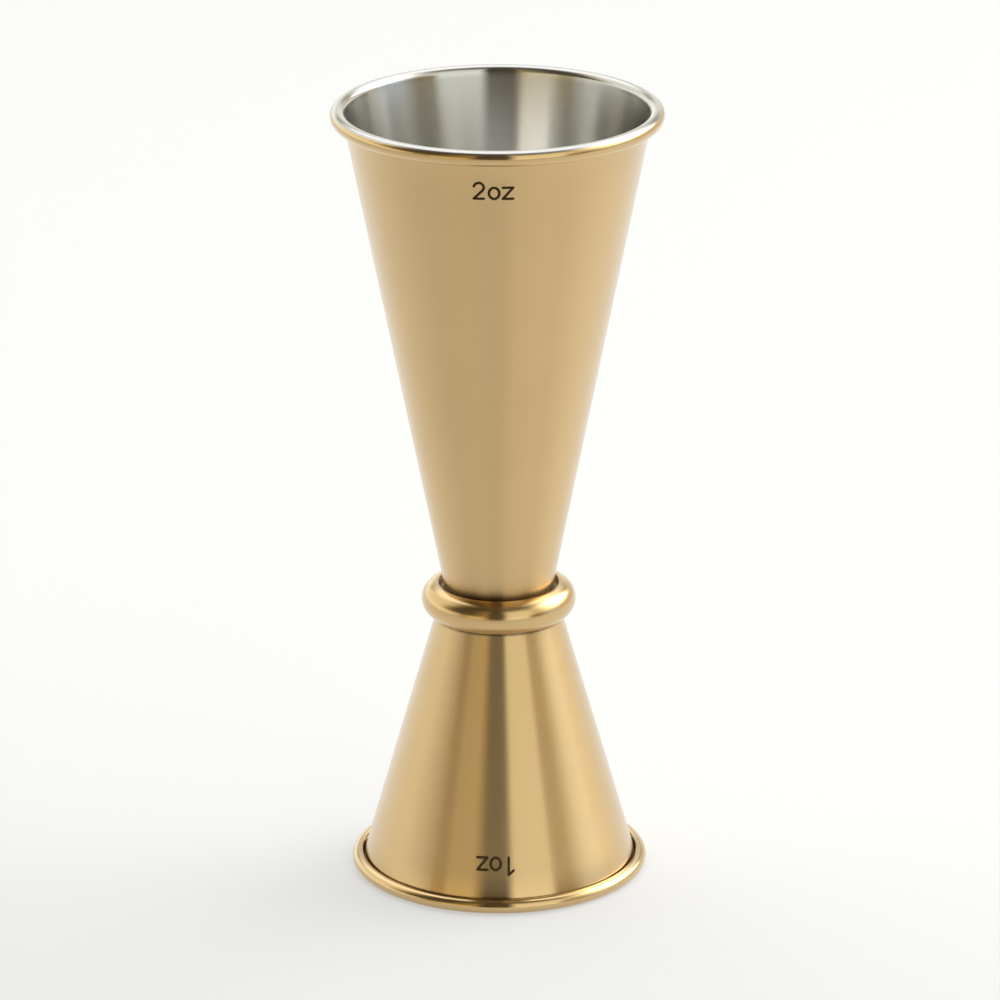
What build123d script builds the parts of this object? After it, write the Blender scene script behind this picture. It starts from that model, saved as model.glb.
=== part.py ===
"""Bar jigger: two spun sheet-metal cups joined floor to floor, with a half-round ring round the waist.

Millimetres. +Z is the axis of the cups, the origin is on the plane the jigger stands on, and -Y is the
front, where the capacity marks are read.
"""

import os
from math import atan2, cos, degrees, radians, sin, sqrt, tan

from build123d import *

# Whole object
HEIGHT = 120.0
JOINT_HEIGHT = 42.9

# Sheet, and what the rolled rims of both cups share
SHEET = 0.5
ROLL_SWEEP = 280.0
RIM_FLAT = 0.03
FLOOR_CORNER_RADIUS = 1.6

# Large cup, mouth up
LARGE_RIM_DIAMETER = 49.7
LARGE_ROLL_RADIUS = 1.16
LARGE_TAPER = 11.3

# Small cup, mouth down, its rim is the foot
SMALL_RIM_DIAMETER = 45.1
SMALL_ROLL_RADIUS = 1.08
SMALL_TAPER = 16.0

# Half-round ring round the joint
RING_BORE_RADIUS = 9.1
RING_SECTION_RADIUS = 2.6

# Filler metal that joins the two floors and fills the groove behind the ring
BRAZE_FILM = 0.1
BRAZE_TOP = 44.3
BRAZE_BOTTOM = 41.6

# Capacity marks, cut in the front of each cup and filled with dark enamel
PEN_WIDTH = 0.4
FIGURE_HEIGHT = 2.92
LETTER_HEIGHT = 2.18
LETTER_WIDTH = 1.9
LETTER_GAP = 0.12
FIGURE_TWO_WIDTH = 1.85
FIGURE_TWO_GAP = 0.36
HOOK_START = 168.0
FIGURE_ONE_WIDTH = 1.15
FIGURE_ONE_GAP = 0.8
FLAG_DROP = 0.62
MARK_SIDE_SHIFT = -0.6
LARGE_MARK_BASE = 112.05
SMALL_MARK_BASE = 8.1
CUT_DEPTH = 0.14
FILL_RECESS = 0.04


class Cup:
    """One cup standing on its floor, mouth up: radii and heights of its section, and its solids."""

    def __init__(self, height, rim_diameter, roll_radius, taper):
        self.height = height
        self.taper = taper
        self.roll_radius = roll_radius
        self.roll_r = rim_diameter / 2 - roll_radius
        self.roll_h = height + RIM_FLAT - roll_radius
        self.wall_from_roll = (roll_radius - SHEET) / cos(radians(taper))

    def wall_radius(self, height, inset=0.0):
        """Radius of the outside of the wall at a height, or of a surface inset below it."""
        at_roll = self.roll_r - self.wall_from_roll
        slope = tan(radians(self.taper))
        return at_roll - slope * (self.roll_h - height) - inset / cos(radians(self.taper))

    def on_roll(self, radius, angle):
        return (
            self.roll_r + radius * cos(radians(angle)),
            self.roll_h + radius * sin(radians(angle)),
        )

    def section(self):
        """Half section of the sheet: floor, tapered wall, and a rim rolled outwards that stays open."""
        start = 180.0 - self.taper
        end = start - ROLL_SWEEP
        hollow = self.roll_radius - SHEET
        outside = FilletPolyline(
            (0, 0),
            (self.wall_radius(0), 0),
            self.on_roll(hollow, start),
            radius=FLOOR_CORNER_RADIUS,
        )
        inside = FilletPolyline(
            (0, SHEET),
            (self.wall_radius(SHEET, SHEET), SHEET),
            self.on_roll(self.roll_radius, start),
            radius=FLOOR_CORNER_RADIUS - SHEET,
        )
        centre = (self.roll_r, self.roll_h)
        roll_inner = CenterArc(centre, hollow, start, -ROLL_SWEEP)
        roll_outer = CenterArc(centre, self.roll_radius, start, -ROLL_SWEEP)
        sheet_edge = Line(self.on_roll(hollow, end), self.on_roll(self.roll_radius, end))
        middle = Line((0, 0), (0, SHEET))
        return make_face(outside + roll_inner + sheet_edge + roll_outer + inside + middle)

    def body(self):
        """The cup, with the crest of its rim rubbed to a narrow flat."""
        spun = revolve(Plane.XZ * self.section(), Axis.Z)
        above_rim = Pos(0, 0, self.height) * Cylinder(
            self.roll_r + 2 * self.roll_radius,
            self.roll_radius,
            align=(Align.CENTER, Align.CENTER, Align.MIN),
        )
        return spun - above_rim

    def envelope(self, inset=0.0):
        """Solid cone below the outside of the wall, inset by a depth square to the wall."""
        top = self.roll_h
        outline = Polyline(
            (0, 0), (self.wall_radius(0, inset), 0), (self.wall_radius(top, inset), top), (0, top), close=True
        )
        return revolve(Plane.XZ * make_face(outline), Axis.Z)


def stroke(line):
    """A line drawn with a round pen."""
    drawn = trace(line, PEN_WIDTH)
    for end in (line @ 0, line @ 1):
        drawn += Pos(end.X, end.Y) * Circle(PEN_WIDTH / 2)
    return drawn


def strokes(*points):
    drawn = Sketch()
    for start, end in zip(points, points[1:]):
        drawn += stroke(Line(start, end))
    return drawn


def figure_two():
    half_pen = PEN_WIDTH / 2
    bowl = FIGURE_TWO_WIDTH / 2 - half_pen
    centre = (FIGURE_TWO_WIDTH / 2, FIGURE_HEIGHT - half_pen - bowl)
    foot = (half_pen, half_pen)
    # The diagonal leaves the bowl along its tangent.
    run, rise = centre[0] - foot[0], centre[1] - foot[1]
    reach = sqrt(run**2 + rise**2)
    bearing = degrees(atan2(-rise, -run)) + degrees(atan2(sqrt(reach**2 - bowl**2), bowl))
    hook = CenterArc(centre, bowl, HOOK_START, bearing % 360 - 360 - HOOK_START)
    return stroke(hook) + strokes(hook @ 1, foot, (FIGURE_TWO_WIDTH - half_pen, half_pen))


def figure_one():
    stem = FIGURE_ONE_WIDTH - PEN_WIDTH / 2
    top = FIGURE_HEIGHT - PEN_WIDTH / 2
    return strokes((PEN_WIDTH / 2, top - FLAG_DROP), (stem, top), (stem, PEN_WIDTH / 2))


def letter_o():
    half_width, half_height = LETTER_WIDTH / 2, LETTER_HEIGHT / 2
    ring = Ellipse(half_width, half_height) - Ellipse(half_width - PEN_WIDTH, half_height - PEN_WIDTH)
    return Pos(half_width, half_height) * ring


def letter_z():
    low, high = PEN_WIDTH / 2, LETTER_HEIGHT - PEN_WIDTH / 2
    left, right = PEN_WIDTH / 2, LETTER_WIDTH - PEN_WIDTH / 2
    return strokes((left, high), (right, high), (left, low), (right, low))


def word(glyphs):
    """Glyphs set side by side on a baseline at height 0 and centred on the front."""
    width = sum(advance for _, advance in glyphs)
    drawn = Sketch()
    place = -width / 2
    for glyph, advance in glyphs:
        drawn += Pos(place, 0) * glyph
        place += advance
    return drawn


def mark_cutter(drawing):
    """A drawing on the front plane, pushed out through the front of the object."""
    return extrude(Plane.XZ * drawing, LARGE_RIM_DIAMETER / 2)


def marked(cup, placement, body, drawing):
    """The placed cup with the drawing cut into it, and the enamel that fills the cut."""
    cutter = mark_cutter(drawing)
    cut_floor = placement * cup.envelope(CUT_DEPTH)
    cut = cutter - cut_floor
    enamel = (cutter & (placement * cup.envelope(FILL_RECESS))) - cut_floor
    return body - cut, enamel


def waist_ring(small_envelope):
    """Half-round ring whose bore is coned at the bottom to sit on the small cup's shoulder."""
    half_round = Pos(RING_BORE_RADIUS, JOINT_HEIGHT) * (
        Circle(RING_SECTION_RADIUS)
        & Rectangle(
            RING_SECTION_RADIUS, 2 * RING_SECTION_RADIUS, align=(Align.MIN, Align.CENTER)
        )
    )
    return revolve(Plane.XZ * half_round, Axis.Z) - small_envelope


def waist_braze(neighbours):
    """Filler metal: a film between the floors and the groove round them, as far as the ring's bore."""
    blank = Pos(0, 0, BRAZE_BOTTOM) * Cylinder(
        RING_BORE_RADIUS, BRAZE_TOP - BRAZE_BOTTOM, align=(Align.CENTER, Align.CENTER, Align.MIN)
    )
    for solid in neighbours:
        blank -= solid
    # The discs left inside the two cups are air, and narrower than the filler that reaches the bore.
    return max(blank.solids(), key=lambda piece: piece.bounding_box().size.X)


def build():
    half_film = BRAZE_FILM / 2
    large = Cup(HEIGHT - JOINT_HEIGHT - half_film, LARGE_RIM_DIAMETER, LARGE_ROLL_RADIUS, LARGE_TAPER)
    small = Cup(JOINT_HEIGHT - half_film, SMALL_RIM_DIAMETER, SMALL_ROLL_RADIUS, SMALL_TAPER)
    mouth_up = Pos(0, 0, JOINT_HEIGHT + half_film)
    mouth_down = Pos(0, 0, JOINT_HEIGHT - half_film) * Rot(180, 0, 0)

    upper_cup = mouth_up * large.body()
    lower_cup = mouth_down * small.body()
    ring = waist_ring(mouth_down * small.envelope())
    braze = waist_braze([upper_cup, lower_cup, ring])

    oz = [(letter_o(), LETTER_WIDTH + LETTER_GAP), (letter_z(), LETTER_WIDTH)]
    two_oz = word([(figure_two(), FIGURE_TWO_WIDTH + FIGURE_TWO_GAP)] + oz)
    one_oz = word([(figure_one(), FIGURE_ONE_WIDTH + FIGURE_ONE_GAP)] + oz)
    upper_cup, mark_2oz = marked(
        large, mouth_up, upper_cup, Pos(MARK_SIDE_SHIFT, LARGE_MARK_BASE) * two_oz
    )
    lower_cup, mark_1oz = marked(
        small, mouth_down, lower_cup, Pos(MARK_SIDE_SHIFT, SMALL_MARK_BASE) * Rot(0, 0, 180) * one_oz
    )
    return {
        "upper_cup": upper_cup,
        "lower_cup": lower_cup,
        "waist_ring": ring,
        "waist_braze": braze,
        "mark_2oz": mark_2oz,
        "mark_1oz": mark_1oz,
    }


os.makedirs("parts", exist_ok=True)
for node, solid in build().items():
    solid.label = node
    export_step(solid, f"parts/{node}.step")
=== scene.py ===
"""Bar jigger: two spun cups with rolled open rims, a half-round waist ring and two filled capacity marks."""

from math import acos, atan2, cos, degrees, hypot, pi, radians, sin, sqrt, tan

import bmesh
import bpy
from mathutils import Matrix, Vector
from mathutils.geometry import tessellate_polygon


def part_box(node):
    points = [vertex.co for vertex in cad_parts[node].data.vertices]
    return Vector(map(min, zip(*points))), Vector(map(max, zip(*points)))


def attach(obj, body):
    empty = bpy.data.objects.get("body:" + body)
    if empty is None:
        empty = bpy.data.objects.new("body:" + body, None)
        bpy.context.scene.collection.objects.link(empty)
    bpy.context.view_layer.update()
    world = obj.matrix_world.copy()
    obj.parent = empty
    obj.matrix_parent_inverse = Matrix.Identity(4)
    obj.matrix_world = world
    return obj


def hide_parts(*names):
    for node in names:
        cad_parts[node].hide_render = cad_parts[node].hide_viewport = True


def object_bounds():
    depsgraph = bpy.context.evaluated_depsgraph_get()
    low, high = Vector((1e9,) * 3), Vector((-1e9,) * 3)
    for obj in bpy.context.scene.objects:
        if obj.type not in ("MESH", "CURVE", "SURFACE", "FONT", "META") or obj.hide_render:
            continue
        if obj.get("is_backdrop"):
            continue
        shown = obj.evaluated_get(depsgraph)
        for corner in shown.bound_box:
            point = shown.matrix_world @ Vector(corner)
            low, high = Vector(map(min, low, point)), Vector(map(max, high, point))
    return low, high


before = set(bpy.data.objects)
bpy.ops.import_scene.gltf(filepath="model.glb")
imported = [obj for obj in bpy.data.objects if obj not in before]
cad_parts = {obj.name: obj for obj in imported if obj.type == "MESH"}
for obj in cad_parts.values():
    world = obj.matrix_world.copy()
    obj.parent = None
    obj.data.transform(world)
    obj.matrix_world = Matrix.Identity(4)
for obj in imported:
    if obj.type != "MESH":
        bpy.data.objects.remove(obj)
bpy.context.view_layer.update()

MM = 0.001

# ---- sheet, rims, ring and filler, in metres and degrees ----
SHEET = 0.5 * MM
LARGE_ROLL = 1.16 * MM
SMALL_ROLL = 1.08 * MM
ROLL_SWEEP = 280.0
RIM_FLAT = 0.03 * MM
FLOOR_CORNER = 1.6 * MM
LARGE_TAPER = 11.3
SMALL_TAPER = 16.0
RING_BORE = 9.1 * MM
RING_EASE = 0.18 * MM
RING_EASE_ANGLE = 84.0
BRAZE_TOP = 44.3 * MM
BRAZE_DISH = 0.22 * MM

# ---- where the gold coat ends, as an angle round each roll from straight outwards ----
LARGE_COAT_EDGE = 42.0
SMALL_COAT_EDGE = 150.0

# ---- capacity marks ----
PEN = 0.4 * MM
LETTER_HEIGHT = 2.18 * MM
LETTER_WIDTH = 1.9 * MM
LETTER_GAP = 0.12 * MM
TWO_WIDTH = 1.85 * MM
TWO_GAP = 0.36 * MM
HOOK_START = 168.0
ONE_WIDTH = 1.15 * MM
ONE_GAP = 0.8 * MM
FLAG_DROP = 0.62 * MM
CUT_DEPTH = 0.14 * MM
CUTTER_PROUD = 0.2 * MM
FILL_RECESS = 0.04 * MM

# ---- how finely the work is divided ----
ROUND = 360
ARC_STEP = 6.0
RING_STEP = 4.0
HOOK_STEP = 10.0
PEN_END_STEP = 20.0
LETTER_O_SIDES = 48
DISH_SIDES = 8
WALL_STEP = 4.0 * MM
FLOOR_STEP = 1.5 * MM
BORE_STEP = 1.0 * MM
OUTLINE_STEP = 0.12 * MM
LIP_BLEND = 0.7 * MM
WELD = 1e-8

# ---- how near a point counts as on a surface ----
WALL_SLACK = 0.02 * MM
ROLL_SLACK = 0.05 * MM
ROLL_SKIN = 0.2 * MM
SAME_WAY = 0.999

BENCH = bpy.context.scene.collection


# ---------------------------------------------------------------- sections
def arc(centre, radius, start, sweep, step=ARC_STEP):
    """Points of an arc, both ends included; angles in degrees."""
    count = max(2, round(abs(sweep) / step))
    angles = [radians(start + sweep * i / count) for i in range(count + 1)]
    return [(centre[0] + radius * cos(a), centre[1] + radius * sin(a)) for a in angles]


def run(start, end, step=WALL_STEP):
    """Points of a straight run, both ends included."""
    count = max(1, round(hypot(end[0] - start[0], end[1] - start[1]) / step))
    return [
        (start[0] + (end[0] - start[0]) * i / count, start[1] + (end[1] - start[1]) * i / count)
        for i in range(count + 1)
    ]


def set_on_bench(name, mesh_maker):
    """The object of a mesh that has been made, placed in the scene."""
    mesh = bpy.data.meshes.new(name)
    mesh_maker.to_mesh(mesh)
    mesh_maker.free()
    piece = bpy.data.objects.new(name, mesh)
    BENCH.objects.link(piece)
    return piece


def lathe(name, section):
    """Spins a closed half section of (radius, height) points round the upright axis."""
    mesh_maker = bmesh.new()
    turns = [2 * pi * i / ROUND for i in range(ROUND)]
    columns = [
        [mesh_maker.verts.new((r * sin(t), -r * cos(t), h)) for r, h in section] for t in turns
    ]
    for i in range(ROUND):
        here, there = columns[i], columns[(i + 1) % ROUND]
        for j in range(len(section)):
            k = (j + 1) % len(section)
            if section[j][0] == 0 and section[k][0] == 0:
                continue
            mesh_maker.faces.new((here[j], there[j], there[k], here[k]))
    bmesh.ops.remove_doubles(mesh_maker, verts=mesh_maker.verts, dist=WELD)
    bmesh.ops.recalc_face_normals(mesh_maker, faces=mesh_maker.faces)
    return set_on_bench(name, mesh_maker)


def smooth(piece, crease=35.0):
    for face in piece.data.polygons:
        face.use_smooth = True
    piece.data.set_sharp_from_angle(angle=radians(crease))


class Cup:
    """Section of one cup standing on its floor, mouth up, and where that cup sits in the jigger."""

    def __init__(self, node, taper, roll, inverted):
        low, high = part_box(node)
        self.roll = roll
        self.taper = radians(taper)
        self.height = high.z - low.z
        self.inverted = inverted
        self.floor_height = high.z if inverted else low.z
        self.roll_r = high.x - roll
        self.roll_h = self.height + RIM_FLAT - roll
        self.roll_start = 180.0 - taper

    def place(self, height):
        """Height in the jigger of a height in the cup."""
        return self.floor_height - height if self.inverted else self.floor_height + height

    def lift(self, height):
        """Height in the cup of a height in the jigger."""
        return self.floor_height - height if self.inverted else height - self.floor_height

    def wall(self, height, inset=0.0):
        """Radius of the outside of the wall at a height in the cup, or of a surface inset below it."""
        at_roll = self.roll_r - (self.roll - SHEET) / cos(self.taper)
        return at_roll - tan(self.taper) * (self.roll_h - height) - inset / cos(self.taper)

    def on_roll(self, radius, angle):
        return self.roll_r + radius * cos(radians(angle)), self.roll_h + radius * sin(radians(angle))

    def floor_and_wall(self, inset):
        """From the middle of the floor to the roll, along the outside or the inside of the sheet."""
        corner = FLOOR_CORNER - inset
        turn = pi / 2 - self.taper
        reach = corner * tan(turn / 2)
        edge = self.wall(inset, inset)
        bend = arc((edge - reach, inset + corner), corner, -90, 90 - degrees(self.taper))
        roll = self.on_roll(self.roll - SHEET + inset, self.roll_start)
        near_roll = (roll[0] - LIP_BLEND * sin(self.taper), roll[1] - LIP_BLEND * cos(self.taper))
        return run((0, inset), bend[0], FLOOR_STEP)[:-1] + bend + run(bend[-1], near_roll)[1:] + [roll]

    def section(self):
        """The whole section of the sheet, with the crown of the roll rubbed flat."""
        outside = self.floor_and_wall(0)
        inside = self.floor_and_wall(SHEET)
        centre = (self.roll_r, self.roll_h)
        hollow = arc(centre, self.roll - SHEET, self.roll_start, -ROLL_SWEEP)[1:]
        crown = arc(centre, self.roll, self.roll_start - ROLL_SWEEP, ROLL_SWEEP)[:-1]
        rubbed = [(r, min(h, self.height)) for r, h in crown]
        outline = outside + hollow + rubbed + inside[::-1]
        return [(r, self.place(h)) for r, h in outline]

    def wall_normal(self, place):
        """Outward normal of the outside of the wall."""
        out = Vector((place.x, place.y, 0)).normalized()
        up = sin(self.taper) * (1 if self.inverted else -1)
        return (out * cos(self.taper) + Vector((0, 0, up))).normalized()

    def on_outside(self, place):
        return abs(hypot(place.x, place.y) - self.wall(self.lift(place.z))) < WALL_SLACK

    def past_roll_centre(self, place):
        """How far a place is outwards of the roll's centre, and how far above it in the cup."""
        return hypot(place.x, place.y) - self.roll_r, self.lift(place.z) - self.roll_h

    def coat_reach(self, place, edge_angle):
        """How far, in millimetres, the gold coat reaches past a place; negative where steel is bare."""
        across, along = self.past_roll_centre(place)
        from_centre = hypot(across, along)
        if from_centre < self.roll + ROLL_SLACK and along > -self.roll:
            angle = degrees(atan2(along, across))
            if angle < self.roll_start - ROLL_SWEEP or from_centre < self.roll - ROLL_SKIN:
                return 1.0
            return max(-1.0, min(1.0, radians(edge_angle - angle) * self.roll / MM))
        outside = hypot(place.x, place.y) > self.wall(self.lift(place.z), SHEET / 2)
        return 1.0 if outside else -1.0

    def is_rolled(self, place):
        """1 on the rolled lip, which the lathe leaves smoother than the wall, and 0 elsewhere."""
        return 1.0 if hypot(*self.past_roll_centre(place)) < self.roll + ROLL_SLACK else 0.0


large = Cup("upper_cup", LARGE_TAPER, LARGE_ROLL, inverted=False)
small = Cup("lower_cup", SMALL_TAPER, SMALL_ROLL, inverted=True)


def ring_section():
    """Half-round section with an eased top edge, and a bore coned at the bottom to sit on the small cup."""
    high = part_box("waist_ring")[1]
    radius = high.x - RING_BORE
    centre = (RING_BORE, high.z - radius)

    def clears_seat(angle):
        r = centre[0] + radius * cos(radians(angle))
        h = centre[1] + radius * sin(radians(angle))
        return r >= small.wall(small.lift(h))

    # The seat is the small cup's wall, and the outline of the ring starts where it meets the half circle.
    foot_angle = -90.0
    while not clears_seat(foot_angle):
        foot_angle += 0.25
    seat_top = centre[1]
    while small.wall(small.lift(seat_top)) < RING_BORE:
        seat_top -= 0.002 * MM
    half_round = arc(centre, radius, foot_angle, RING_EASE_ANGLE - foot_angle, RING_STEP)
    top = half_round[-1][1]
    eased = [(RING_BORE + RING_EASE * 0.3, top - RING_EASE * 0.12), (RING_BORE, top - RING_EASE)]
    bore = run((RING_BORE, top - 2 * RING_EASE), (RING_BORE, seat_top), BORE_STEP)
    return half_round + eased + bore


ring_outline = ring_section()
ring_foot = ring_outline[0][1]


def braze_section():
    """Film between the floors and the filled groove round them, dished where the filler is seen."""
    below = [(r, small.place(h)) for r, h in small.floor_and_wall(0)]
    above = [(r, large.place(h)) for r, h in large.floor_and_wall(0)]
    below = [(r, h) for r, h in below if r <= RING_BORE and h > small.place(6 * MM)]
    above = [(r, h) for r, h in above if h < BRAZE_TOP]
    inner = large.wall(large.lift(BRAZE_TOP))
    shares = [i / DISH_SIDES for i in range(DISH_SIDES + 1)]
    dished = [
        (inner + (RING_BORE - inner) * share, BRAZE_TOP - BRAZE_DISH * sin(pi * share))
        for share in shares
    ]
    seat = small.place((RING_BORE - small.wall(0)) / tan(small.taper))
    return below + [(RING_BORE, seat)] + dished[::-1] + above[::-1]


# ---------------------------------------------------------------- capacity marks
def pen_outline(path):
    """Outline of an open line drawn with a round pen."""
    half = PEN / 2
    path = [Vector(point) for point in path]
    heading = [(b - a).normalized() for a, b in zip(path, path[1:])]

    def left(direction):
        return Vector((-direction.y, direction.x))

    def swing(centre, first, sweep):
        count = max(2, round(abs(sweep) / radians(PEN_END_STEP)))
        base = atan2(first.y, first.x)
        return [
            centre + half * Vector((cos(base + sweep * i / count), sin(base + sweep * i / count)))
            for i in range(count + 1)
        ]

    def side(points, headings):
        outline = [points[0] + half * left(headings[0])]
        for point, before, after in zip(points[1:-1], headings, headings[1:]):
            turn = atan2(before.x * after.y - before.y * after.x, before.dot(after))
            sharp_outside_corner = turn < -0.2
            if sharp_outside_corner:
                outline += swing(point, left(before), turn)
            else:
                bisector = (left(before) + left(after)).normalized()
                outline.append(point + bisector * half / cos(turn / 2))
        return outline + [points[-1] + half * left(headings[-1])]

    there = side(path, heading)
    back = side(path[::-1], [-h for h in heading[::-1]])
    end_cap = swing(path[-1], left(heading[-1]), -pi)[1:-1]
    start_cap = swing(path[0], -left(heading[0]), -pi)[1:-1]
    return there + end_cap + back + start_cap


def divided(outline):
    """The same closed outline with no side longer than about the outline step."""
    points = []
    for a, b in zip(outline, outline[1:] + outline[:1]):
        count = max(1, round((b - a).length / OUTLINE_STEP))
        points += [a.lerp(b, i / count) for i in range(count)]
    return points


def figure_two(height):
    half = PEN / 2
    bowl = TWO_WIDTH / 2 - half
    centre = (TWO_WIDTH / 2, height - half - bowl)
    foot = (half, half)
    # The diagonal leaves the bowl along its tangent.
    width, rise = centre[0] - foot[0], centre[1] - foot[1]
    bearing = degrees(atan2(-rise, -width) + acos(bowl / hypot(width, rise)))
    hook = arc(centre, bowl, HOOK_START, bearing % 360 - 360 - HOOK_START, HOOK_STEP)
    return [pen_outline(hook + [foot, (TWO_WIDTH - half, half)])]


def figure_one(height):
    stem, top = ONE_WIDTH - PEN / 2, height - PEN / 2
    return [pen_outline([(PEN / 2, top - FLAG_DROP), (stem, top), (stem, PEN / 2)])]


def letter_o(_figure_height):
    wide, tall = LETTER_WIDTH / 2, LETTER_HEIGHT / 2
    turns = [2 * pi * i / LETTER_O_SIDES for i in range(LETTER_O_SIDES)]
    return [
        [Vector((wide + (wide - inset) * cos(t), tall + (tall - inset) * sin(t))) for t in turns]
        for inset in (0, PEN)
    ]


def letter_z(_figure_height):
    low, high = PEN / 2, LETTER_HEIGHT - PEN / 2
    left, right = PEN / 2, LETTER_WIDTH - PEN / 2
    return [pen_outline([(left, high), (right, high), (left, low), (right, low)])]


def word(glyphs, height):
    """Outlines of glyphs set side by side, from the left end of the baseline."""
    placed, start = [], 0.0
    for glyph, advance in glyphs:
        placed.append([[p + Vector((start, 0)) for p in divided(loop)] for loop in glyph(height)])
        start += advance
    return placed


OZ = [(letter_o, LETTER_WIDTH + LETTER_GAP), (letter_z, LETTER_WIDTH)]
TWO_OZ = [(figure_two, TWO_WIDTH + TWO_GAP)] + OZ
ONE_OZ = [(figure_one, ONE_WIDTH + ONE_GAP)] + OZ


def mark_solid(name, cup, glyphs, node, outer_inset, inner_inset):
    """A closed slab in the shape of a word, bent to the wall between two depths below its surface."""
    low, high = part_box(node)
    mesh_maker = bmesh.new()

    def bent(point, inset):
        x = high.x - point.x if cup.inverted else low.x + point.x
        z = high.z - point.y if cup.inverted else low.z + point.y
        radius = cup.wall(cup.lift(z), inset)
        return mesh_maker.verts.new((x, -sqrt(radius**2 - x**2), z))

    for loops in word(glyphs, high.z - low.z):
        tiles = tessellate_polygon([[p.to_3d() for p in loop] for loop in loops])
        skins = [
            [[bent(p, inset) for p in loop] for loop in loops]
            for inset in (outer_inset, inner_inset)
        ]
        faces = []
        for skin in skins:
            verts = [vert for loop in skin for vert in loop]
            faces += [mesh_maker.faces.new([verts[i] for i in tile]) for tile in tiles]
        for outer, inner in zip(*skins):
            for i in range(len(outer)):
                k = (i + 1) % len(outer)
                faces.append(mesh_maker.faces.new((outer[i], outer[k], inner[k], inner[i])))
        bmesh.ops.recalc_face_normals(mesh_maker, faces=faces)
        if faces[0].normal.y > 0:
            bmesh.ops.reverse_faces(mesh_maker, faces=faces)
    return set_on_bench(name, mesh_maker)


def engrave(piece, cutter):
    """Cuts the marks into the sheet as real pockets and removes the cutter."""
    cut = piece.modifiers.new("marks", "BOOLEAN")
    cut.operation = "DIFFERENCE"
    cut.solver = "EXACT"
    cut.object = cutter
    bpy.context.view_layer.update()
    engraved = piece.evaluated_get(bpy.context.evaluated_depsgraph_get())
    finished = bpy.data.meshes.new_from_object(engraved)
    piece.modifiers.clear()
    piece.data = finished
    bpy.data.objects.remove(cutter)


def true_wall_normals(piece, cup):
    """Gives the faces of the outside wall the normals of a true cone, so that it reflects evenly."""
    mesh = piece.data
    normals = [Vector((0, 0, 0))] * len(mesh.loops)
    for face in mesh.polygons:
        if cup.on_outside(face.center) and face.normal.dot(cup.wall_normal(face.center)) > SAME_WAY:
            for corner in face.loop_indices:
                place = mesh.vertices[mesh.loops[corner].vertex_index].co
                normals[corner] = cup.wall_normal(place)
    mesh.normals_split_custom_set(normals)


# ---------------------------------------------------------------- node work
class Wire:
    """A socket that adds Math nodes when it is used in arithmetic."""

    def __init__(self, recipe, socket):
        self.recipe, self.socket = recipe, socket

    def __add__(self, other):
        return self.recipe.math("ADD", self, other)

    def __sub__(self, other):
        return self.recipe.math("SUBTRACT", self, other)

    def __rsub__(self, other):
        return self.recipe.math("SUBTRACT", other, self)

    def __mul__(self, other):
        return self.recipe.math("MULTIPLY", self, other)

    def __truediv__(self, other):
        return self.recipe.math("DIVIDE", self, other)

    def __neg__(self):
        return self.recipe.math("MULTIPLY", self, -1.0)

    __radd__ = __add__
    __rmul__ = __mul__

    def step(self, low, high):
        """0 below low, 1 above high, and smooth between."""
        settings = {"interpolation_type": "SMOOTHSTEP"}
        inputs = {"Value": self, "From Min": low, "From Max": high}
        return self.recipe.node("ShaderNodeMapRange", settings, inputs)


class Recipe:
    """The node tree of one finish, or of the studio's surroundings."""

    def __init__(self, tree):
        self.tree = tree
        tree.nodes.clear()

    def node(self, kind, settings=None, inputs=None, output=0):
        made = self.tree.nodes.new(kind)
        for key, value in (settings or {}).items():
            if key == "stops":
                self.set_stops(made.color_ramp, value)
            else:
                setattr(made, key, value)
        inputs = inputs or {}
        for key, value in inputs.items() if isinstance(inputs, dict) else enumerate(inputs):
            self.feed(made.inputs[key], value)
        return Wire(self, made.outputs[output])

    def feed(self, socket, value):
        if isinstance(value, Wire):
            self.tree.links.new(value.socket, socket)
        elif socket.type == "RGBA":
            socket.default_value = (*value, 1.0)
        else:
            socket.default_value = value

    @staticmethod
    def set_stops(ramp, stops):
        while len(ramp.elements) > 1:
            ramp.elements.remove(ramp.elements[-1])
        for i, (place, colour) in enumerate(stops):
            stop = ramp.elements[0] if i == 0 else ramp.elements.new(place)
            stop.position = place
            stop.color = (*colour, 1.0)

    def show(self, output_kind, shader):
        """Joins a shader to the output of the tree."""
        result = self.tree.nodes.new(output_kind)
        self.tree.links.new(shader.socket, result.inputs[0])

    def math(self, operation, *values):
        return self.node("ShaderNodeMath", {"operation": operation}, values)

    def blend(self, factor, first, second):
        """One colour or the other, by a factor from 0 to 1."""
        colours = {0: factor, 6: first, 7: second}
        return self.node("ShaderNodeMix", {"data_type": "RGBA"}, colours, output=2)

    def parts(self, vector):
        """The x, y and z of a vector."""
        split = self.node("ShaderNodeSeparateXYZ", {}, [vector]).socket.node
        return [Wire(self, socket) for socket in split.outputs]

    def vector(self, x, y, z):
        return self.node("ShaderNodeCombineXYZ", {}, [x, y, z])

    def noise(self, place, detail=2.0, roughness=0.5):
        inputs = {"Vector": place, "Scale": 1.0, "Detail": detail, "Roughness": roughness}
        return self.node("ShaderNodeTexNoise", {}, inputs)


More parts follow.
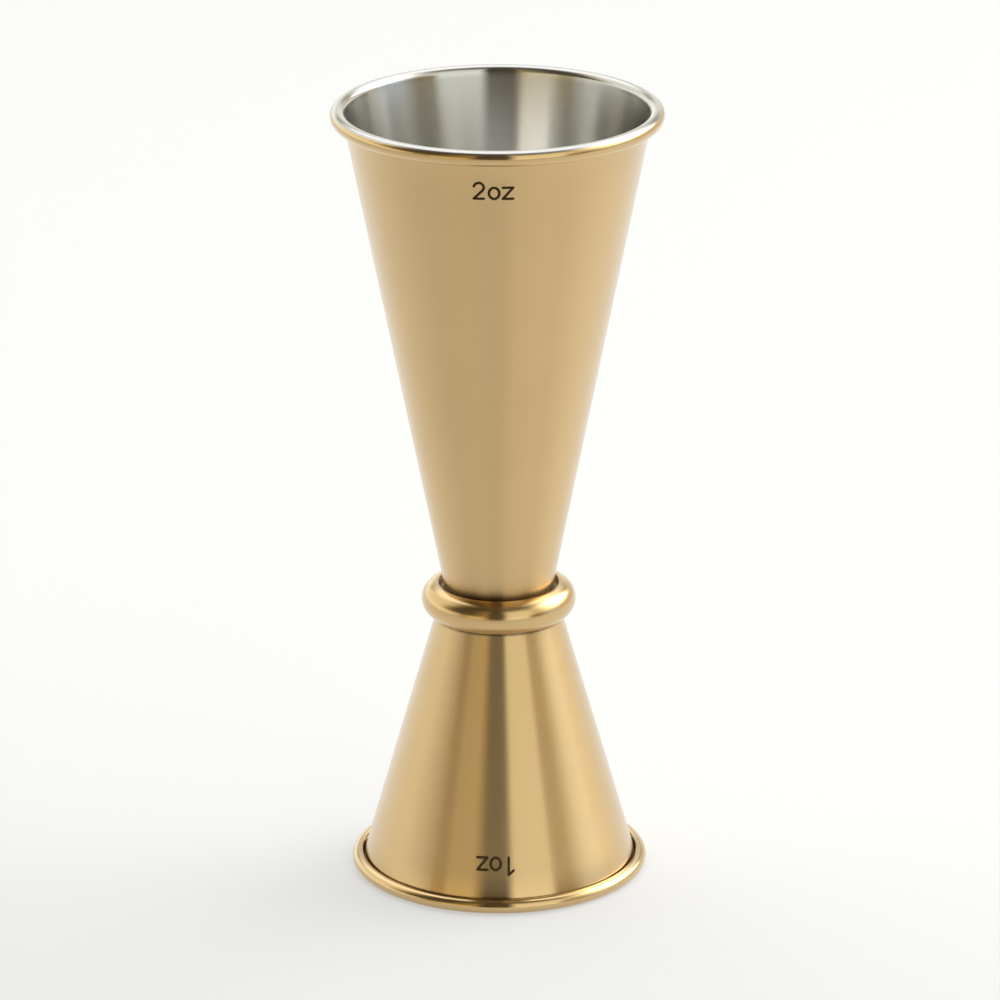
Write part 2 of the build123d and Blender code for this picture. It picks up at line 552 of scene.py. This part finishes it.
class Finish(Recipe):
    """A material with one Principled shader."""

    def __init__(self, name, **constants):
        self.material = bpy.data.materials.new(name)
        self.material.use_nodes = True
        super().__init__(self.material.node_tree)
        shader = self.node("ShaderNodeBsdfPrincipled")
        self.shader = shader.socket.node
        self.show("ShaderNodeOutputMaterial", shader)
        self.set(**constants)
        self.place = self.node("ShaderNodeTexCoord", output=3)
        self.x, self.y, self.z = self.parts(self.place)

    def set(self, **values):
        for name, value in values.items():
            self.feed(self.shader.inputs[name.replace("_", " ")], value)

    def grain(self, scale, detail):
        """Even noise over the piece, from 0 to 1."""
        inputs = {0: self.place, "Scale": scale}
        return self.noise(self.node("ShaderNodeVectorMath", {"operation": "SCALE"}, inputs), detail)

    def shade_band(self, height, reach):
        """Mask for painted shade: 1 at a height in the jigger, fading unevenly to 0 within a reach above and
        below it.
        """
        distance = self.math("ABSOLUTE", self.z - height)
        return (1 - distance / reach + (self.grain(1800, 3.0) - 0.5) * 0.5).step(0.0, 1.0)

    def recorded(self, name):
        """A value recorded on the points of the mesh."""
        return self.node("ShaderNodeAttribute", {"attribute_name": name}, output=2)

    def raise_surface(self, height, depth, strength):
        """Relief of a height from 0 to 1, times a depth in metres."""
        inputs = {"Strength": strength, "Distance": depth, "Height": height}
        self.set(Normal=self.node("ShaderNodeBump", {}, inputs))

    def brushing(self):
        """Lathe-brushed lines that run round the axis: coarse and fine, from 0 to 1."""
        along = self.z + self.math("SQRT", self.x * self.x + self.y * self.y)
        coarse = self.noise(self.vector(self.x * 45, self.y * 45, along * 4200), 3.0, 0.6)
        fine = self.noise(self.vector(self.x * 160, self.y * 160, along * 16000), 2.0, 0.6)
        return coarse, fine


# ---------------------------------------------------------------- finishes
GOLD = (0.642, 0.451, 0.206)
GOLD_DEEP = (0.611, 0.420, 0.185)
STEEL = (0.56, 0.555, 0.535)
# Painted shade colour, laid into the crevices where the cups meet the ring.
PAINTED_SHADE = (0.10, 0.06, 0.025)
ENAMEL = (0.055, 0.032, 0.009)
ENAMEL_DEEP = (0.020, 0.011, 0.003)
FILLER = (0.34, 0.27, 0.17)
FILLER_DEEP = (0.16, 0.12, 0.07)
PAPER = (0.394, 0.398, 0.402)
PAPER_DEEP = (0.384, 0.388, 0.392)
# Painted shade: the paper's colour towards the front, where the jigger's shadow falls.
PAPER_SHADED_IN_FRONT = (0.306, 0.309, 0.312)

# How rough each finish is, before its own small variations.
BARE_WALL = 0.205
COATED_WALL = 0.25
ROLLED_LIP = 0.13
POLISHED_RING = 0.20
CURED_ENAMEL = 0.6
RAW_FILLER = 0.5


def coated_sheet():
    """Brushed steel sheet, gold outside and bare inside, with the coat's edge on the roll."""
    finish = Finish(
        "brushed_gold_coated_steel",
        Metallic=1.0,
        Anisotropic=1.0,
        Anisotropic_Rotation=0.25,
        Coat_Roughness=0.265,
        Coat_IOR=1.5,
    )
    coarse, fine = finish.brushing()
    reach, rolled = finish.recorded("coat_reach"), finish.recorded("rolled")
    ragged = finish.grain(900, 3.0)
    cloud = finish.grain(38, 3.0)
    handled = finish.grain(140, 4.0)
    coat = (reach + (ragged - 0.5) * 0.10).step(-0.03, 0.05)
    gold = finish.blend((coarse * 0.4 + cloud * 0.6).step(0.25, 0.75), GOLD_DEEP, GOLD)
    # Painted shade: the gold darkens where the small cup meets the ring's foot and where the large cup
    # enters the groove above the ring.
    shade_amount = finish.shade_band(ring_foot, 0.5 * MM) + finish.shade_band(BRAZE_TOP + 0.3 * MM, 1.1 * MM) * 0.7
    gold = finish.blend(shade_amount, gold, PAINTED_SHADE)
    wall = BARE_WALL + coat * (COATED_WALL - BARE_WALL)
    wall = wall + (coarse - 0.5) * 0.02 + (handled - 0.5) * 0.02
    lip = ROLLED_LIP + (handled - 0.5) * 0.03
    finish.set(
        Base_Color=finish.blend(coat, STEEL, gold),
        Roughness=wall + (lip - wall) * rolled,
        Coat_Weight=coat * 0.9,
    )
    finish.raise_surface(coarse * 0.3 + fine * 0.7, 0.001 * MM, 0.3)
    return finish.material


def polished_ring():
    """Turned and polished steel with the same gold coat."""
    finish = Finish(
        "polished_gold_coated_ring",
        Metallic=1.0,
        Anisotropic=0.4,
        Anisotropic_Rotation=0.25,
        Coat_Weight=0.6,
        Coat_Roughness=0.2,
        Coat_IOR=1.5,
    )
    coarse, fine = finish.brushing()
    handled = finish.grain(220, 4.0)
    gold = finish.blend(coarse, GOLD_DEEP, GOLD)
    finish.set(
        # Painted shade: the base colour darkens in the crevice at the ring's foot.
        Base_Color=finish.blend(finish.shade_band(ring_foot, 0.7 * MM), gold, PAINTED_SHADE),
        Roughness=POLISHED_RING + (handled - 0.5) * 0.06 + (fine - 0.5) * 0.04,
    )
    finish.raise_surface(coarse, 0.002 * MM, 0.4)
    return finish.material


def dark_enamel():
    """Dark brown fill, slightly uneven, in the engraved marks."""
    finish = Finish("dark_brown_enamel", Metallic=0.0, Specular_IOR_Level=0.08)
    grain = finish.grain(6000, 3.0)
    finish.set(
        Base_Color=finish.blend(grain, ENAMEL_DEEP, ENAMEL),
        Roughness=CURED_ENAMEL + (grain - 0.5) * 0.3,
    )
    finish.raise_surface(grain, 0.01 * MM, 0.5)
    return finish.material


def filler_metal():
    """Dull, slightly lumpy filler metal at the bottom of the groove behind the ring."""
    finish = Finish("dull_filler_metal", Metallic=1.0)
    lumps = finish.grain(1500, 4.0)
    finish.set(
        Base_Color=finish.blend(lumps, FILLER_DEEP, FILLER),
        Roughness=RAW_FILLER + (lumps - 0.5) * 0.3,
    )
    finish.raise_surface(lumps, 0.05 * MM, 0.6)
    return finish.material


def studio_paper():
    """Plain pale paper for the floor, with painted shade deepening its colour towards the front left."""
    finish = Finish("pale_paper", Roughness=0.9, Specular_IOR_Level=0.2)
    fibres = finish.grain(900, 4.0)
    paper = finish.blend(fibres, PAPER_DEEP, PAPER)
    # Painted shadow: the paper darkens towards the front left, away from the light at the back right.
    front_shade = (-finish.y - finish.x * 0.55).step(-0.10, 0.30)
    finish.set(Base_Color=finish.blend(front_shade, paper, PAPER_SHADED_IN_FRONT))
    finish.raise_surface(fibres, 0.02 * MM, 0.3)
    return finish.material


# ---------------------------------------------------------------- pieces
def make_cup(name, cup, glyphs, mark_node, coat_edge, material):
    """One cup with its mark engraved and the edge of its coat recorded."""
    piece = lathe(name, cup.section())
    cutter = mark_solid(name + "_cutter", cup, glyphs, mark_node, -CUTTER_PROUD, CUT_DEPTH)
    engrave(piece, cutter)
    smooth(piece)
    true_wall_normals(piece, cup)
    reach = piece.data.attributes.new("coat_reach", "FLOAT", "POINT")
    rolled = piece.data.attributes.new("rolled", "FLOAT", "POINT")
    for vert in piece.data.vertices:
        reach.data[vert.index].value = cup.coat_reach(vert.co, coat_edge)
        rolled.data[vert.index].value = cup.is_rolled(vert.co)
    piece.data.materials.clear()
    piece.data.materials.append(material)
    return piece


def finish_piece(piece, node, material=None):
    """Gives a piece its material, if it has none yet, and its place in the frame."""
    if material:
        piece.data.materials.append(material)
    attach(piece, "root")
    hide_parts(node)


sheet_finish = coated_sheet()
enamel_finish = dark_enamel()

upper_cup = make_cup("large_cup", large, TWO_OZ, "mark_2oz", LARGE_COAT_EDGE, sheet_finish)
lower_cup = make_cup("small_cup", small, ONE_OZ, "mark_1oz", SMALL_COAT_EDGE, sheet_finish)
finish_piece(upper_cup, "upper_cup")
finish_piece(lower_cup, "lower_cup")

ring = lathe("half_round_ring", ring_outline)
smooth(ring, crease=50.0)
finish_piece(ring, "waist_ring", polished_ring())

braze = lathe("waist_filler", braze_section())
smooth(braze)
finish_piece(braze, "waist_braze", filler_metal())

for mark_name, mark_cup, mark_glyphs, mark_node in (
    ("two_ounce_mark", large, TWO_OZ, "mark_2oz"),
    ("one_ounce_mark", small, ONE_OZ, "mark_1oz"),
):
    mark = mark_solid(mark_name, mark_cup, mark_glyphs, mark_node, FILL_RECESS, CUT_DEPTH)
    smooth(mark)
    finish_piece(mark, mark_node, enamel_finish)


# ---------------------------------------------------------------- studio
FLOOR_REACH = 8.0
FLOOR_TILES = 24
FLOOR_GAP = 0.05 * MM
LAMP_AIM = 0.05


def lay_floor():
    """A wide sheet of paper just below the foot."""
    mesh_maker = bmesh.new()
    bmesh.ops.create_grid(
        mesh_maker, x_segments=FLOOR_TILES, y_segments=FLOOR_TILES, size=FLOOR_REACH
    )
    floor = set_on_bench("studio_floor", mesh_maker)
    floor.data.materials.append(studio_paper())
    floor.location.z = -FLOOR_GAP
    floor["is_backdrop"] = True


def softbox(name, bearing, height, distance, wide, tall, power, fill=False):
    """A soft panel aimed at the foot of the jigger; a fill casts no shadow and isn't mirrored.

    The bearing is counted from the front towards the right.
    """
    light = bpy.data.lights.new(name, "AREA")
    light.shape = "RECTANGLE"
    light.size = wide
    light.size_y = tall
    light.energy = power
    light.use_shadow = not fill
    lamp = bpy.data.objects.new(name, light)
    place = Vector((distance * sin(radians(bearing)), -distance * cos(radians(bearing)), height))
    aim = Vector((0, 0, LAMP_AIM)) - place
    lamp.matrix_world = Matrix.Translation(place) @ aim.to_track_quat("-Z", "Y").to_matrix().to_4x4()
    lamp.visible_camera = False
    lamp.visible_glossy = not fill
    BENCH.objects.link(lamp)


DARK = (0.10, 0.08, 0.055)
DIM = (0.10, 0.09, 0.07)
GREY = (0.58, 0.53, 0.44)
WARM = (0.45, 0.345, 0.165)
RUSSET = (0.36, 0.275, 0.135)
HONEY = (0.66, 0.51, 0.25)
TAN = (1.0, 0.85, 0.52)
SHADED = (0.84, 0.76, 0.60)
PALE = (1.30, 1.32, 1.22)
BRIGHT = (0.77, 0.89, 1.04)
CREAM = (1.14, 1.13, 1.02)
LIT = (3.30, 3.20, 2.85)
OVERHEAD = (1.75, 1.75, 1.75)

# Colours of the studio round the jigger, by bearing from the front towards the right.
NEAR_HORIZON = (
    (-180, PALE), (-95, PALE), (-74, CREAM), (-61, SHADED), (-58, HONEY), (-49, HONEY), (-44, TAN),
    (-24, TAN), (-17, WARM), (-12, DARK), (6, DARK), (13, PALE), (44, PALE), (50, RUSSET), (64, RUSSET),
    (82, BRIGHT), (98, BRIGHT), (106, SHADED), (160, SHADED), (180, PALE),
)
HIGHER_UP = (
    (-180, GREY), (-156, GREY), (-150, CREAM), (-104, CREAM), (-88, WARM), (-78, DIM), (-46, DIM),
    (-20, WARM), (-14, DARK), (8, DARK), (14, CREAM), (50, CREAM), (62, SHADED), (72, CREAM),
    (99, LIT), (142, LIT), (150, GREY), (180, GREY),
)

# The elevations between which the lower colours give way to the higher ones, and those to the ceiling.
TIERS_MEET = (13, 20)
CEILING_MEETS = (45, 66)
CEILING_COVER = 0.9
# The box overhead: how far behind straight up it is, and its soft edge, as angles from its middle.
OVERHEAD_LEAN = radians(34)
OVERHEAD_EDGE = (37, 25)


def surroundings():
    """Studio walls with dark gaps between pale panels, a dark front ceiling and a soft box overhead."""
    world = bpy.data.worlds.new("studio")
    bpy.context.scene.world = world
    world.use_nodes = True
    recipe = Recipe(world.node_tree)
    x, y, z = recipe.parts(recipe.node("ShaderNodeTexCoord", output=0))
    bearing = recipe.math("ARCTAN2", x, -y) / (2 * pi) + 0.5
    tiers = [
        recipe.node("ShaderNodeValToRGB", {"stops": [((a + 180) / 360, c) for a, c in tier]}, [bearing])
        for tier in (NEAR_HORIZON, HIGHER_UP)
    ]
    walls = recipe.blend(z.step(*(sin(radians(edge)) for edge in TIERS_MEET)), *tiers)
    ceiling = z.step(*(sin(radians(edge)) for edge in CEILING_MEETS))
    covered = recipe.blend(ceiling * CEILING_COVER, walls, DARK)
    along_box = z * cos(OVERHEAD_LEAN) + y * sin(OVERHEAD_LEAN)
    in_box = along_box.step(*(cos(radians(edge)) for edge in OVERHEAD_EDGE))
    inputs = {"Color": recipe.blend(in_box, covered, OVERHEAD), "Strength": 1.0}
    recipe.show("ShaderNodeOutputWorld", recipe.node("ShaderNodeBackground", {}, inputs))


AIM_SHARE = 0.49067
CAMERA_ELEVATION = radians(19.09)
CAMERA_ROLL = radians(0.16)
CAMERA_DISTANCE = 0.9959
SENSOR_WIDTH = 36.0
FOCAL_LENGTH = 237.46
SHIFT_X = 0.00156
SHIFT_Y = -0.00266
NEAREST = 0.01
FARTHEST = 50.0


def set_camera():
    """Long lens, a little above the jigger, looking at its middle from the front."""
    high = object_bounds()[1]
    aim = Vector((0, 0, high.z * AIM_SHARE))
    back = Vector((0, -cos(CAMERA_ELEVATION), sin(CAMERA_ELEVATION)))
    right = Vector((1, 0, 0))
    up = back.cross(right)
    tilted_right = right * cos(CAMERA_ROLL) - up * sin(CAMERA_ROLL)
    tilted_up = up * cos(CAMERA_ROLL) + right * sin(CAMERA_ROLL)
    lens = bpy.data.cameras.new("camera")
    lens.sensor_width = SENSOR_WIDTH
    lens.lens = FOCAL_LENGTH
    lens.shift_x = SHIFT_X
    lens.shift_y = SHIFT_Y
    lens.clip_start = NEAREST
    lens.clip_end = FARTHEST
    camera = bpy.data.objects.new("camera", lens)
    turned = Matrix((tilted_right, tilted_up, back)).transposed().to_4x4()
    camera.matrix_world = Matrix.Translation(aim + back * CAMERA_DISTANCE) @ turned
    BENCH.objects.link(camera)
    bpy.context.scene.camera = camera


lay_floor()
surroundings()
softbox("key_panel", bearing=120, height=0.70, distance=0.85, wide=0.80, tall=0.60, power=2.6)
softbox("fill_panel", bearing=0, height=3.0, distance=0.0, wide=2.4, tall=2.4, power=146.0, fill=True)
set_camera()
bpy.context.scene.view_settings.view_transform = "Standard"
